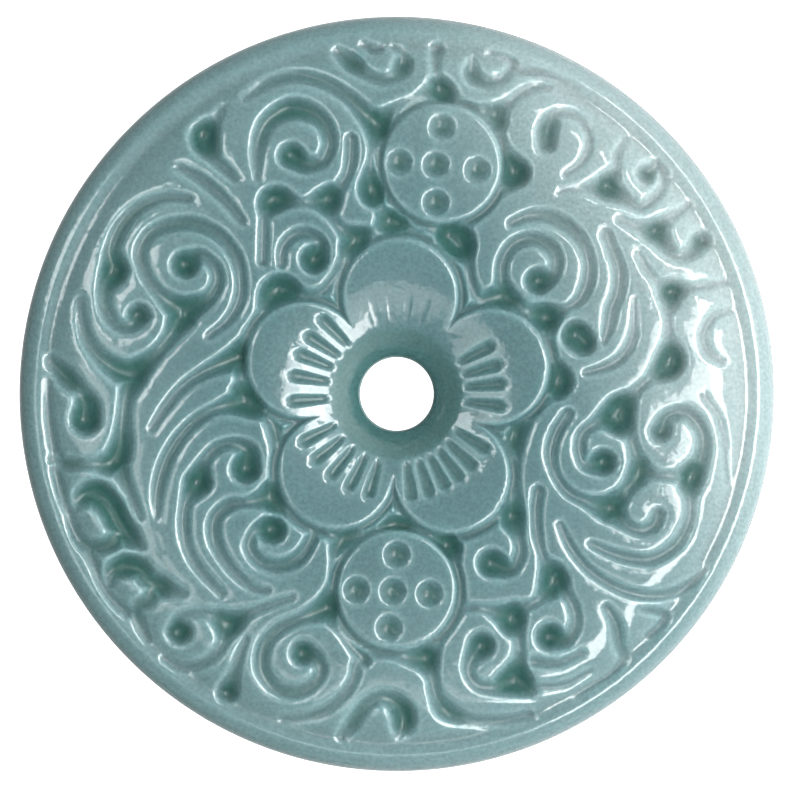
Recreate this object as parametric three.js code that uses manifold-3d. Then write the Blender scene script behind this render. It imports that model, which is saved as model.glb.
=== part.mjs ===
// Carved jade disc: a domed round of jade with a cord hole, its upper face cut with a five-petalled flower,
// two coins and scrolling vines. Millimetres, +Z up, lying on its plain back at z = 0.
import * as THREE from 'three';
import { mergeVertices } from 'three/addons/utils/BufferGeometryUtils.js';
import Module from 'manifold-3d';

// Driving dimensions.
const DISC_R = 30;          // outer radius
const HOLE_R = 2.92;        // cord hole
const EDGE_Z = 2.2;         // height of the widest part of the edge
const FACE_Z = 5.2;         // the face before it is domed
const CROWN_R = 12;         // radius of the highest ring of the face
const CROWN_Z = 6.4;        // its height, the thickness of the disc
const DOME_FALL = 0.0062;   // fall of the face outside the crown, per mm squared
const DISH_FALL = 0.026;    // fall of the flower inside the crown, per mm squared
const RIM_CREST_R = 28.7;   // crest of the plain rim
const RIM_GROOVE_R = 27.6;  // groove between the rim and the vines
const TURNS = 60;           // flats round the disc

// Carving.
const CHANNEL_DEEP = 1.2;   // the sunk ground below the face
const CHANNEL_STEP = 2.0;   // spacing of the sections along a channel
const CHANNEL_OVER = 0.5;   // how far a cutter stands above the face
const END_REACH = 0.85;     // a channel's end runs on by this share of its half width
const END_NARROW = 0.5;     // and narrows to this share of it
const PETALS = 5;
const PETAL_TURN = 16;      // degrees from +X to the middle of the first petal
const STAMENS = 5;          // short grooves on each petal
const STAMEN_TURN = 12;     // degrees between them
const STAMEN_DEEP = 0.35;
const PETAL_CUT_DEEP = 0.5; // the cut between two petals
const COINS = [[3.4, 18.2], [-0.2, -15.6]];
const COIN_DOT_R = 1.1;     // mouth of a drilled dot
const COIN_DOT_DEEP = 0.5;
const COIN_DOT_RING = 3.0;  // the four outer dots stand this far from the middle one

// The sunk ground, read from the photograph: each channel is a smooth run of [x, y, half width at its mouth].
// A wide place is a drilled pit, the narrow stretches join the pits, and what stands between is leaf and vine.
const CHANNELS = [
  // round the flower
  [[-12.4, 2.9, 1.05], [-11.7, 4.6, 0.5], [-10.7, 6.3, 0.5], [-9.3, 8.2, 1.2], [-7.3, 7.8, 0.55],
   [-5.8, 8, 0.55], [-4.1, 10.7, 0.55], [-3.2, 12.1, 1], [-1.7, 12.8, 0.5], [-0.4, 13.5, 1],
   [1.5, 13, 0.45], [3.2, 12.8, 0.7], [4.6, 12.2, 1.25], [5.5, 10.4, 0.6], [6.6, 7.5, 0.6],
   [8.4, 7.6, 0.95], [10.1, 6.7, 0.6], [11.8, 6, 1.15]],
  [[-12.4, 2.9, 1.05], [-12.2, 1.2, 0.6], [-11.9, -0.5, 1.15], [-10.3, -1.7, 0.6], [-9.5, -3, 0.7],
   [-9.6, -6.8, 0.55], [-9.9, -8.2, 1], [-8.6, -9.4, 0.55], [-6.5, -10.8, 0.6], [-5.5, -11, 0.5],
   [-4.2, -11.6, 0.85]],
  [[9.1, -9.6, 1], [9.45, -7.5, 0.4], [9.45, -5.5, 0.4], [9.3, -3.3, 0.9], [10.6, -1.8, 0.45],
   [12, -0.3, 0.5], [12.8, 0.9, 1.1], [12.3, 2.8, 0.5], [12.1, 4.5, 0.5], [11.8, 6, 1.15]],
  // round the two coins
  [[9.3, 17.5, 1.25], [8.1, 15.7, 0.35], [5.5, 13.1, 0.4], [4.6, 12.2, 1.25]],
  [[3.5, 24, 1], [1.6, 23.4, 0.4], [0, 22.6, 0.5], [-1.5, 21.2, 1.05]],
  [[-5.4, -16.9, 1.05], [-4.7, -18.4, 0.4], [-2.6, -20.9, 0.7]],
  [[4, -12, 1.1], [4.7, -13.6, 0.4], [4.9, -15.5, 0.35], [5.1, -16.7, 0.45], [3.2, -19.9, 0.45],
   [2.3, -20.8, 1]],
  [[5.2, -16.9, 0.4], [7, -17, 0.4], [9.1, -17.7, 1.1]],
  [[4, -12, 1.1], [2.2, -11, 0.5], [0, -10.4, 0.95], [-2, -10.9, 0.5], [-4.2, -11.6, 0.85],
   [-4.9, -13.3, 0.4], [-5.1, -15, 0.45], [-5.4, -16.9, 1.05]],
  // top and upper left: the great scroll, its arch and the scroll below it
  [[0.6, 26.4, 0.95], [-0.2, 25.3, 0.6], [-1.4, 24.9, 0.5], [-2.6, 25.3, 0.6], [-3.7, 26.3, 0.85],
   [-4.8, 27.2, 0.6]],
  [[-11, 17, 0.25], [-10.95, 19.5, 0.6], [-10.2, 21.4, 0.75], [-8.3, 22.5, 0.9], [-6.2, 21.8, 0.75],
   [-5.3, 20, 0.65], [-5.9, 18.4, 0.65], [-7.2, 18.1, 0.75], [-8.3, 18.8, 1]],
  [[-11.9, 23.4, 0.35], [-10.2, 24.6, 0.55], [-8, 25.1, 0.65], [-5.8, 24.6, 0.65], [-3.8, 23.4, 0.65],
   [-2.4, 22, 0.8], [-1.5, 21.2, 1.05], [-1.7, 19.6, 0.55], [-1.95, 18.3, 0.45], [-1.9, 16, 1.05],
   [-1.3, 14.8, 0.6], [-0.5, 13.7, 1]],
  [[-3.6, 20.1, 0.5], [-3.9, 17.3, 0.5], [-4.6, 16.2, 0.6], [-5.4, 15.3, 1], [-5.1, 14.1, 0.5],
   [-4.4, 13.1, 0.5], [-3.2, 12.2, 1]],
  [[-5.5, 15.3, 1], [-7.5, 15.1, 0.4], [-9.7, 15.3, 1.05], [-10.4, 14, 0.5], [-10.55, 10.5, 0.45]],
  [[-9.1, 10.2, 0.35], [-9, 11.4, 0.45], [-8.2, 12.4, 0.55], [-7.1, 12.6, 0.6], [-6.1, 11.9, 0.65],
   [-6.5, 10.6, 1.05]],
  [[-14.5, 22.4, 0.9], [-15.2, 20.2, 1.05], [-14.4, 18.6, 0.6], [-12.8, 17, 0.35]],
  [[-19.4, 18.1, 1], [-17.5, 17.6, 0.6], [-15.5, 16.9, 0.6], [-13.8, 15.6, 0.55], [-12.3, 13.7, 0.4]],
  // left: the paired scrolls and the long vine along the rim
  [[-16.9, 6.5, 1.1], [-18.6, 7.8, 0.6], [-20.3, 11, 0.55], [-19.6, 12.5, 0.6], [-16, 13.4, 0.65],
   [-12.8, 11, 0.55], [-12.5, 7.2, 0.5], [-13.4, 5.7, 0.45], [-14.8, 4.6, 0.35]],
  [[-16.7, 10.2, 1.05], [-15.5, 10.9, 0.6], [-14.4, 10, 0.55], [-14.2, 8.8, 0.6], [-15, 7.5, 0.7],
   [-16.8, 6.5, 1.1]],
  [[-22.4, 9.6, 1.1], [-23.1, 8, 0.7], [-22.9, 6.5, 0.6], [-22, 5.4, 0.6], [-20.9, 5.5, 0.7],
   [-20.4, 6.2, 0.9]],
  [[-22.3, 9.8, 1.1], [-22.5, 11.3, 0.75], [-21.7, 13.3, 0.7], [-20.2, 14.8, 0.6], [-18.3, 15.5, 0.5],
   [-16.5, 15.4, 0.4]],
  [[-25, 7.3, 0.4], [-24.4, 4.2, 0.6], [-22, 1.9, 0.9], [-20.8, 1.5, 1.1]],
  [[-20.8, 1.6, 1.1], [-19.2, 3, 0.7], [-17.9, 4.5, 0.7], [-16.9, 6.2, 1.1]],
  [[-24.6, -2.3, 1], [-24.6, -1, 0.9], [-25.1, 0.2, 0.75], [-26.2, 1.4, 0.85], [-27.2, 2.6, 0.6]],
  [[-20.8, 1.4, 1], [-21.3, -0.6, 0.6], [-21.5, -2.5, 0.55], [-22.6, -5.4, 0.9], [-24.5, -5.5, 0.6],
   [-26.3, -5.2, 0.7], [-27.3, -4.5, 0.5]],
  [[-19.3, -2.7, 0.35], [-16.8, 0.6, 0.5], [-12.4, 2.9, 1.05]],
  [[-18.9, -9.6, 0.3], [-18.4, -5.8, 0.6], [-15.8, -2.1, 0.55], [-14, -1.1, 0.6], [-11.9, -0.6, 1.15]],
  // lower left: three hooks at the rim and two scrolls with long leaves
  [[-24.2, -7.8, 0.75], [-22.3, -9.9, 0.95], [-21.4, -11.2, 0.9], [-24.3, -12, 0.7], [-25.5, -11.5, 0.5]],
  [[-22, -5.6, 0.8], [-20.2, -9.8, 0.3]],
  [[-21.9, -13.6, 0.8], [-20.8, -14.2, 0.95], [-18.6, -15.7, 0.8], [-20, -16.6, 0.6], [-21.6, -16.9, 0.6]],
  [[-17.2, -18.9, 1], [-16.6, -17.9, 0.6], [-15.4, -17.4, 0.55], [-14.1, -17.9, 0.8], [-13.2, -18.4, 0.95],
   [-14.5, -20.9, 0.6], [-15.7, -21.6, 0.6], [-17, -21.5, 0.5]],
  [[-11.9, -5.9, 1.1], [-11.8, -4.6, 0.8], [-12.9, -4, 0.6], [-14.2, -4.3, 0.55], [-15.2, -5.4, 0.6],
   [-15.7, -7, 1.05]],
  [[-15.7, -7, 1.05], [-16.6, -8.6, 0.55], [-16.5, -12.2, 0.45], [-13.8, -15.8, 0.35]],
  [[-9.9, -8.2, 1], [-11.8, -8.6, 0.5], [-13.2, -8.8, 0.6], [-14.3, -9.8, 0.6], [-14.4, -11.3, 0.6],
   [-12.6, -14.3, 0.45], [-11.2, -15.4, 0.35], [-10.2, -15.6, 0.3]],
  [[-9.9, -10.7, 1.1], [-11, -10.8, 0.6], [-11.6, -12, 0.55], [-10.8, -13.2, 0.6], [-9.3, -13.6, 0.65],
   [-7.8, -13, 0.65], [-6.5, -10.8, 0.6]],
  [[-13.2, -18.2, 1], [-11.6, -17.3, 0.5], [-8.2, -16.1, 0.25]],
  // bottom: the scroll, the bud under the coin and the stems between
  [[-11.9, -19.4, 0.4], [-12.9, -22, 0.7], [-13.2, -23.4, 0.9]],
  [[-5.4, -16.9, 1.05], [-7.4, -17.7, 0.6], [-9.3, -18.6, 0.6], [-10.5, -20, 0.65], [-10.6, -21.8, 0.65],
   [-9.6, -23.2, 0.65], [-8, -23.6, 0.65], [-6.6, -22.9, 0.6], [-6, -21.8, 0.6], [-6.5, -20.9, 0.7],
   [-7.4, -20.5, 0.95]],
  [[2.3, -20.9, 1], [-0.5, -20.7, 0.35], [-2.6, -21, 0.7], [-3.4, -22.8, 0.5], [-4.8, -24.3, 0.55],
   [-6.6, -25.2, 0.5], [-9, -25.6, 0.4]],
  [[-3.6, -27, 0.7], [-2.2, -24.4, 0.7], [-0.9, -23.9, 0.7], [0.2, -24.7, 0.8], [0.6, -26, 0.95]],
  [[2.3, -20.9, 1], [2.8, -22.3, 0.6], [3.1, -23.8, 0.6], [3.9, -25, 0.8], [5.6, -25.7, 0.6],
   [8, -25.8, 0.5], [10.5, -25.4, 0.4]],
  [[6.7, -19.9, 1], [5.7, -22, 0.5], [6.4, -23, 0.5], [7.8, -23.2, 0.7], [9.4, -22.7, 1.2],
   [10.5, -23.4, 0.7]],
  // lower right: scrolls, the crescent leaves and the grooves by the rim
  [[7.5, -13.4, 1.05], [8.9, -13.8, 0.7], [9.7, -12.8, 0.55], [9.6, -11.3, 0.55], [9.1, -9.7, 1]],
  [[11.2, -7.7, 0.5], [11, -9.2, 0.5], [11.6, -13, 0.4], [12.4, -14.7, 1.1], [11.2, -16.3, 0.5],
   [9.9, -17, 0.6], [9.1, -17.7, 1.1], [9.6, -19.2, 0.55], [9.7, -20.8, 0.6], [9.4, -22.5, 1.2]],
  [[12.1, -19.2, 1.05], [13.3, -19.4, 0.7], [14.1, -18.3, 0.55], [14, -16.9, 0.5], [13.3, -15.7, 0.6],
   [12.5, -14.8, 1.1]],
  [[10.9, -21.2, 0.5], [12.7, -21.3, 0.4], [14.6, -20.5, 0.3]],
  [[11.2, -23.2, 0.4], [13.3, -23, 0.35], [15.3, -21.9, 0.25]],
  [[17, -17.2, 0.5], [17.9, -18.7, 1], [17.4, -21.7, 0.5], [14.2, -23.9, 0.35]],
  [[19.8, -17, 0.4], [20.8, -17.3, 0.7], [20.9, -18.5, 0.6], [18.3, -20.6, 0.7]],
  [[13.5, -1.6, 0.5], [12.2, -4.7, 0.5], [13.5, -7.7, 0.45], [15, -8.5, 0.55], [16.9, -9.1, 1.05]],
  [[17.4, -1.7, 1.1], [15.8, -2.3, 0.6], [14.7, -3.2, 0.5], [15, -5.6, 0.55], [16.3, -5.4, 1]],
  [[20, 1.2, 0.5], [18.8, 0.1, 0.55], [17.5, -1.7, 1.1], [18.4, -3.2, 0.6], [18.9, -4.8, 0.6],
   [19.2, -6.1, 0.9], [18.1, -7.7, 0.7], [16.9, -9, 1.05]],
  [[19.2, -6.1, 0.9], [20.5, -6.4, 0.5], [22.2, -6.5, 0.6], [23.3, -6.4, 1]],
  [[20.9, -3, 0.85], [21.4, -1.9, 0.7], [22.7, -1.5, 0.65], [23.8, -2.4, 0.65], [24.3, -4, 0.7],
   [23.9, -5.5, 0.8], [23.3, -6.6, 1.05], [23.2, -8.2, 0.6], [22.6, -11.2, 0.6], [20, -13.1, 0.55],
   [18, -12.9, 0.5], [15.4, -11.9, 0.3]],
  [[16.9, -9, 1.05], [18, -10.2, 0.6], [19.3, -10.8, 0.55], [20.3, -10.4, 0.65], [20.7, -9.5, 0.55]],
  [[12.95, -10.4, 0.3], [15, -13.7, 0.4], [18.8, -15.8, 0.45], [23, -15.2, 0.45], [24.6, -14, 0.35]],
  [[24.3, -0.2, 0.25], [25.4, -1.7, 0.3], [25.95, -3.8, 0.3], [26.15, -7, 0.2]],
  // right and upper right: three hooks at the rim and two scrolls with long leaves
  [[25.9, 5.7, 0.8], [25, 5.2, 0.75], [24.7, 4, 0.6], [25.3, 3, 0.6], [27.8, 2.3, 0.6]],
  [[21.8, 7.8, 0.9], [23.2, 8.4, 0.5], [26.2, 8.7, 0.6], [27.4, 8.5, 0.5]],
  [[20.5, 12.8, 0.95], [22.3, 10.9, 0.6], [23.3, 11.2, 0.7], [24, 12, 0.85]],
  [[20.5, 12.9, 0.95], [21.5, 13.9, 0.5], [22.5, 14.5, 0.5], [23.1, 15.4, 0.6], [24.2, 15.5, 0.5]],
  [[19.8, 17.4, 0.85], [20.6, 17.9, 0.6], [21, 16.2, 0.5], [19.3, 14.8, 0.5], [16.7, 16.3, 1]],
  [[16.6, 16.4, 1], [17.3, 17.8, 0.5], [17.4, 19, 0.5], [18.2, 20.1, 0.6], [19.2, 20.6, 0.5]],
  [[11.9, 19.9, 0.95], [12.2, 21.3, 0.9], [13.3, 22, 0.6], [14.6, 21.5, 0.5], [15.3, 20.3, 0.5],
   [15.2, 18.9, 0.5], [14.4, 17.9, 0.4], [13.5, 17.5, 0.3]],
  [[9.3, 17.5, 1.25], [8, 20.6, 0.6], [7.9, 21.8, 0.85], [6.2, 22.6, 0.4], [4.9, 23, 0.45], [3.5, 24, 1],
   [3.2, 25.2, 0.45], [3.2, 27.2, 0.6]],
  [[7.9, 21.9, 0.85], [10.6, 24.4, 0.6], [13.5, 24.6, 0.4]],
  [[12.9, 16, 0.2], [14.5, 16.2, 0.3], [16.6, 16.3, 1]],
  [[6.4, 25.4, 1.05], [7.6, 25, 0.8], [8.7, 25.3, 0.7], [9.4, 26.2, 0.6], [10.2, 26.7, 0.5]],
  [[9.1, 13.5, 0.4], [10.5, 14, 0.55], [12.2, 13.9, 0.65], [14.9, 11.5, 0.55], [15, 8.5, 0.6],
   [14.3, 7.3, 0.5], [13.3, 6.7, 0.4], [11.8, 6, 1.15]],
  [[8.5, 7.7, 0.95], [8.3, 9, 0.6], [8.4, 10.5, 0.55], [9.3, 11.8, 0.6], [10.8, 12.2, 0.65],
   [12.1, 11.6, 0.65], [12.6, 10.4, 0.6], [12.2, 9.3, 0.7], [11.2, 8.9, 1]],
  [[16.6, 12.6, 0.5], [17.6, 9.7, 0.6], [16.4, 4.2, 0.4]],
  [[14.2, 4.6, 1.15], [14.7, 4.1, 1.05]],
  [[18.8, 7.5, 0.2], [18.6, 4.3, 0.45], [17.8, 2.9, 0.5], [15, 1.7, 0.3]],
  [[19.1, 11.1, 0.25], [20.6, 8.9, 0.4], [21.6, 7.9, 0.9], [21.5, 6.2, 0.4], [21.5, 4.5, 0.5],
   [21.6, 2.5, 1.2], [20, 1.2, 0.5]],
  [[17.6, 13.8, 0.3], [20.4, 12.8, 0.95]],
];

const wasm = await Module();
wasm.setup();

// Height of the uncut face at radius r: highest on the crown, falling to the rim and to the hole.
const faceZ = (r) => CROWN_Z - (r > CROWN_R ? DOME_FALL : DISH_FALL) * (r - CROWN_R) ** 2;

// A closed solid for cutting, from any closed geometry.
function cutter(geometry) {
  const bare = new THREE.BufferGeometry();
  bare.setAttribute('position', geometry.getAttribute('position'));
  bare.setIndex(geometry.getIndex());
  const welded = mergeVertices(bare, 1e-4);
  const mesh = new wasm.Mesh({
    numProp: 3,
    vertProperties: new Float32Array(welded.getAttribute('position').array),
    triVerts: new Uint32Array(welded.getIndex().array),
  });
  return new wasm.Manifold(mesh);
}

// The plain turned blank with a flat face: hole, face, rim, rounded edge, and a back with one engraved ring.
function blank() {
  const profile = [
    [HOLE_R, 0.6], [HOLE_R, 4.1], [3.5, 4.7], [5.2, FACE_Z], [26.6, FACE_Z], [27.0, 4.95],
    [RIM_GROOVE_R, 4.6], [28.2, 4.75], [RIM_CREST_R, 4.9], [29.3, 4.4], [29.8, 3.4],
    [DISC_R, EDGE_Z], [29.6, 0.7], [28.6, 0], [27.1, 0], [26.7, 0.3], [26.3, 0], [HOLE_R + 0.6, 0], [HOLE_R, 0.6],
  ];
  const points = profile.map(([r, z]) => new THREE.Vector2(r, z)).reverse();
  return new THREE.LatheGeometry(points, TURNS).rotateX(Math.PI / 2);
}

// A run of [x, y, half width] swept into a straight-sided trench with blunt rounded ends.
function trench(run, deep) {
  const curve = new THREE.CatmullRomCurve3(run.map((p) => new THREE.Vector3(...p)), false, 'centripetal');
  const steps = Math.max(1, Math.round(curve.getLength() / CHANNEL_STEP));
  const core = curve.getSpacedPoints(steps);
  const blunt = (a, b) => {
    const away = new THREE.Vector2(a.x - b.x, a.y - b.y).setLength(END_REACH * a.z);
    return new THREE.Vector3(a.x + away.x, a.y + away.y, END_NARROW * a.z);
  };
  const spine = [blunt(core[0], core[1]), ...core, blunt(core[steps], core[steps - 1])];
  const side = (sign) => spine.map((p, i) => {
    const before = spine[Math.max(i - 1, 0)];
    const after = spine[Math.min(i + 1, spine.length - 1)];
    const along = new THREE.Vector2(after.x - before.x, after.y - before.y).normalize();
    return new THREE.Vector2(p.x - sign * p.z * along.y, p.y + sign * p.z * along.x);
  });
  const outline = new THREE.Shape([...side(-1), ...side(1).reverse()]);
  const block = new THREE.ExtrudeGeometry(outline, { depth: deep + CHANNEL_OVER, bevelEnabled: false });
  return block.translate(0, 0, FACE_Z - deep);
}

// A run is cut in two where it turns sharply, so that no trench folds over itself.
function splitAtTurns(run) {
  const runs = [[run[0]]];
  for (let i = 1; i < run.length; i++) {
    runs.at(-1).push(run[i]);
    if (i === run.length - 1) break;
    const into = Math.atan2(run[i][1] - run[i - 1][1], run[i][0] - run[i - 1][0]);
    const out = Math.atan2(run[i + 1][1] - run[i][1], run[i + 1][0] - run[i][0]);
    const turn = Math.abs(Math.atan2(Math.sin(out - into), Math.cos(out - into)));
    if (turn > THREE.MathUtils.degToRad(58)) runs.push([run[i]]);
  }
  return runs;
}

// A straight groove along a radius of the flower, from one [radius, half width] to another.
function radial(degrees, [r0, half0], [r1, half1]) {
  const a = THREE.MathUtils.degToRad(degrees);
  return [[r0 * Math.cos(a), r0 * Math.sin(a), half0], [r1 * Math.cos(a), r1 * Math.sin(a), half1]];
}

// One drilled dot of a coin: a shallow spherical cup.
function dot(x, y) {
  const ball = (COIN_DOT_R ** 2 + COIN_DOT_DEEP ** 2) / (2 * COIN_DOT_DEEP);
  return new THREE.SphereGeometry(ball, 8, 8).rotateX(Math.PI / 2).translate(x, y, FACE_Z + ball - COIN_DOT_DEEP);
}

function carvedDisc() {
  let disc = cutter(blank());
  for (const run of CHANNELS.flatMap(splitAtTurns)) {
    disc = disc.subtract(cutter(trench(run, CHANNEL_DEEP)));
  }
  for (let petal = 0; petal < PETALS; petal++) {
    const middle = PETAL_TURN + petal * 360 / PETALS;
    disc = disc.subtract(cutter(trench(radial(middle + 180 / PETALS, [6.0, 0.15], [9.4, 0.4]), PETAL_CUT_DEEP)));
    for (let i = 0; i < STAMENS; i++) {
      const offset = i - (STAMENS - 1) / 2;
      const outer = 8.3 - 0.1 * offset ** 2;
      const groove = radial(middle + offset * STAMEN_TURN, [5.7, 0.15], [outer, 0.25]);
      disc = disc.subtract(cutter(trench(groove, STAMEN_DEEP)));
    }
  }
  for (const [x, y] of COINS) {
    for (const [i, j] of [[0, 0], [1, 0], [-1, 0], [0, 1], [0, -1]]) {
      disc = disc.subtract(cutter(dot(x + i * COIN_DOT_RING, y + j * COIN_DOT_RING)));
    }
  }
  const { vertProperties, triVerts } = disc.getMesh();
  const geometry = new THREE.BufferGeometry();
  geometry.setAttribute('position', new THREE.Float32BufferAttribute(vertProperties, 3));
  geometry.setIndex([...triVerts]);
  return geometry;
}

// Domes the carved face: each point rises or falls with the face above it, and the back stays flat.
function dome(geometry) {
  const position = geometry.getAttribute('position');
  for (let i = 0; i < position.count; i++) {
    const r = Math.hypot(position.getX(i), position.getY(i));
    const share = THREE.MathUtils.clamp((position.getZ(i) - 1) / (FACE_Z - 2.6), 0, 1);
    position.setZ(i, position.getZ(i) + share * (faceZ(r) - FACE_Z));
  }
  geometry.computeVertexNormals();
  return geometry;
}

const jade = new THREE.MeshStandardMaterial({ color: '#7fa8a4', roughness: 0.12, metalness: 0 });
const disc = new THREE.Mesh(dome(carvedDisc()), jade);
disc.name = 'jade_disc';

const part = new THREE.Group();
part.name = 'carved_jade_disc';
part.add(disc);

export default part;
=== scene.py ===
"""Carved jade disc, lying on its plain back with the carved face up."""
import bpy
import numpy as np
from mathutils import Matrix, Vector


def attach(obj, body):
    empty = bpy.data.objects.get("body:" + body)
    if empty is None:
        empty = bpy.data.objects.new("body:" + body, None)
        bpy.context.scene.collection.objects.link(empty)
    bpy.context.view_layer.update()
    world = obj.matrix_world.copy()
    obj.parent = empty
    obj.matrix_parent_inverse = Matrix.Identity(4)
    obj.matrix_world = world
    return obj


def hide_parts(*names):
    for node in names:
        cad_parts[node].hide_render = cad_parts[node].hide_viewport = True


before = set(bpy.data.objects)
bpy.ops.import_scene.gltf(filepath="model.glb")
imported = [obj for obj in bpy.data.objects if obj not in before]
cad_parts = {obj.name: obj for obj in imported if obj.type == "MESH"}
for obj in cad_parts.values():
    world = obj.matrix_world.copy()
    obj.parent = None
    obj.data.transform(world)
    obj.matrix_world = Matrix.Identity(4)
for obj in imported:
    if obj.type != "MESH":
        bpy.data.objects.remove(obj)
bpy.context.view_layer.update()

# The turned blank: one disc of blue-green jade, ground to a low dome that dishes in towards the cord hole,
# with a beaded rim. All of the carving is cut down into this face. Its sizes are in mm, on a polar grid.
MM = 0.001
DISC_R = 30.0
HOLE_R = 2.92
CROWN_R = 12.0
CROWN_Z = 6.4
DOME_FALL = 0.0050
DISH_FALL = 0.026
FUNNEL_R = 5.3
FUNNEL_DEEP = 1.0
FUNNEL_POWER = 1.5
GROOVE_R = 27.6
GROOVE_HALF = 0.6
GROOVE_DEEP = 0.24
SHOULDER_FROM = 24.6
SHOULDER_TO = 28.4
SHOULDER_DEEP = 0.62
CREST_R = 28.7
EDGE = [(CREST_R, 4.37), (29.4, 3.95), (29.85, 3.2), (30.0, 2.2), (29.8, 1.0), (29.4, 0.3), (28.6, 0.0)]
EDGE_STEP = 0.45
BACK = [(27.1, 0.0), (26.7, 0.3), (26.3, 0.0), (HOLE_R + 0.6, 0.0), (HOLE_R, 0.6)]
BORE_Z = [1.7, 2.8]
AROUND = 800
FLOWER_RINGS = 22
FLOWER_R = 9.5
VINE_RINGS = 82


def smoothstep(low, high, value):
    """Rises from 0 at `low` to 1 at `high` on the cubic 3t^2 - 2t^3."""
    t = np.clip((value - low) / (high - low), 0.0, 1.0)
    return t * t * (3.0 - 2.0 * t)


def uncut_face(r):
    """Height of the turned face at radius r: a parabola falling each way from the crown, less a funnel
    round the hole, a shoulder down to the rim and a groove inside it."""
    fall = np.where(r > CROWN_R, DOME_FALL, DISH_FALL)
    funnel = FUNNEL_DEEP * (np.clip(FUNNEL_R - r, 0.0, None) / (FUNNEL_R - HOLE_R)) ** FUNNEL_POWER
    shoulder = SHOULDER_DEEP * smoothstep(SHOULDER_FROM, SHOULDER_TO, r)
    groove = GROOVE_DEEP * np.exp(-(((r - GROOVE_R) / GROOVE_HALF) ** 2))
    return CROWN_Z - fall * (r - CROWN_R) ** 2 - funnel - shoulder - groove


def spline(points, spacing):
    """A centripetal Catmull-Rom curve through the rows of points, sampled about every `spacing` along it.

    Each stretch blends its four nearest rows by the Barry-Goldman pyramid, with knots set by the root of
    the distance between rows in the plane, so that tight curls do not overshoot."""
    rows = np.array(points, float)
    rows = np.vstack([2 * rows[0] - rows[1], rows, 2 * rows[-1] - rows[-2]])
    stretches = []
    for p in np.lib.stride_tricks.sliding_window_view(rows, (4, rows.shape[1]))[:, 0]:
        gaps = np.sqrt(np.maximum(np.linalg.norm(np.diff(p[:, :2], axis=0), axis=1), 1e-6))
        t0, t1, t2, t3 = np.concatenate([[0.0], np.cumsum(gaps)])
        count = max(1, int(round(np.linalg.norm(p[2, :2] - p[1, :2]) / spacing)))
        t = np.linspace(t1, t2, count, endpoint=False)[:, None]
        a = ((t1 - t) * p[0] + (t - t0) * p[1]) / (t1 - t0)
        b = ((t2 - t) * p[1] + (t - t1) * p[2]) / (t2 - t1)
        c = ((t3 - t) * p[2] + (t - t2) * p[3]) / (t3 - t2)
        ab = ((t2 - t) * a + (t - t0) * b) / (t2 - t0)
        bc = ((t3 - t) * b + (t - t1) * c) / (t3 - t1)
        stretches.append(((t2 - t) * ab + (t - t1) * bc) / (t2 - t1))
    return np.vstack(stretches + [rows[-2:-1]])


turn = np.linspace(0.0, 2.0 * np.pi, AROUND, endpoint=False)
flower_r = np.linspace(HOLE_R, FLOWER_R, FLOWER_RINGS, endpoint=False)
face_r = np.concatenate([flower_r, np.linspace(FLOWER_R, CREST_R, VINE_RINGS)])
edge_rows = spline(EDGE, EDGE_STEP)[1:]
ring_r = np.concatenate([[HOLE_R] * len(BORE_Z), face_r, edge_rows[:, 0], [r for r, z in BACK]])
ring_z = np.concatenate([BORE_Z, uncut_face(face_r), edge_rows[:, 1], [z for r, z in BACK]])
x = ring_r[:, None] * np.cos(turn)
y = ring_r[:, None] * np.sin(turn)
z = np.repeat(ring_z[:, None], AROUND, axis=1)
face = slice(len(BORE_Z), len(BORE_Z) + len(face_r))
face_shape = (len(face_r), AROUND)
fx = x[face].ravel()
fy = y[face].ravel()
fr = np.hypot(fx, fy)

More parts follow.
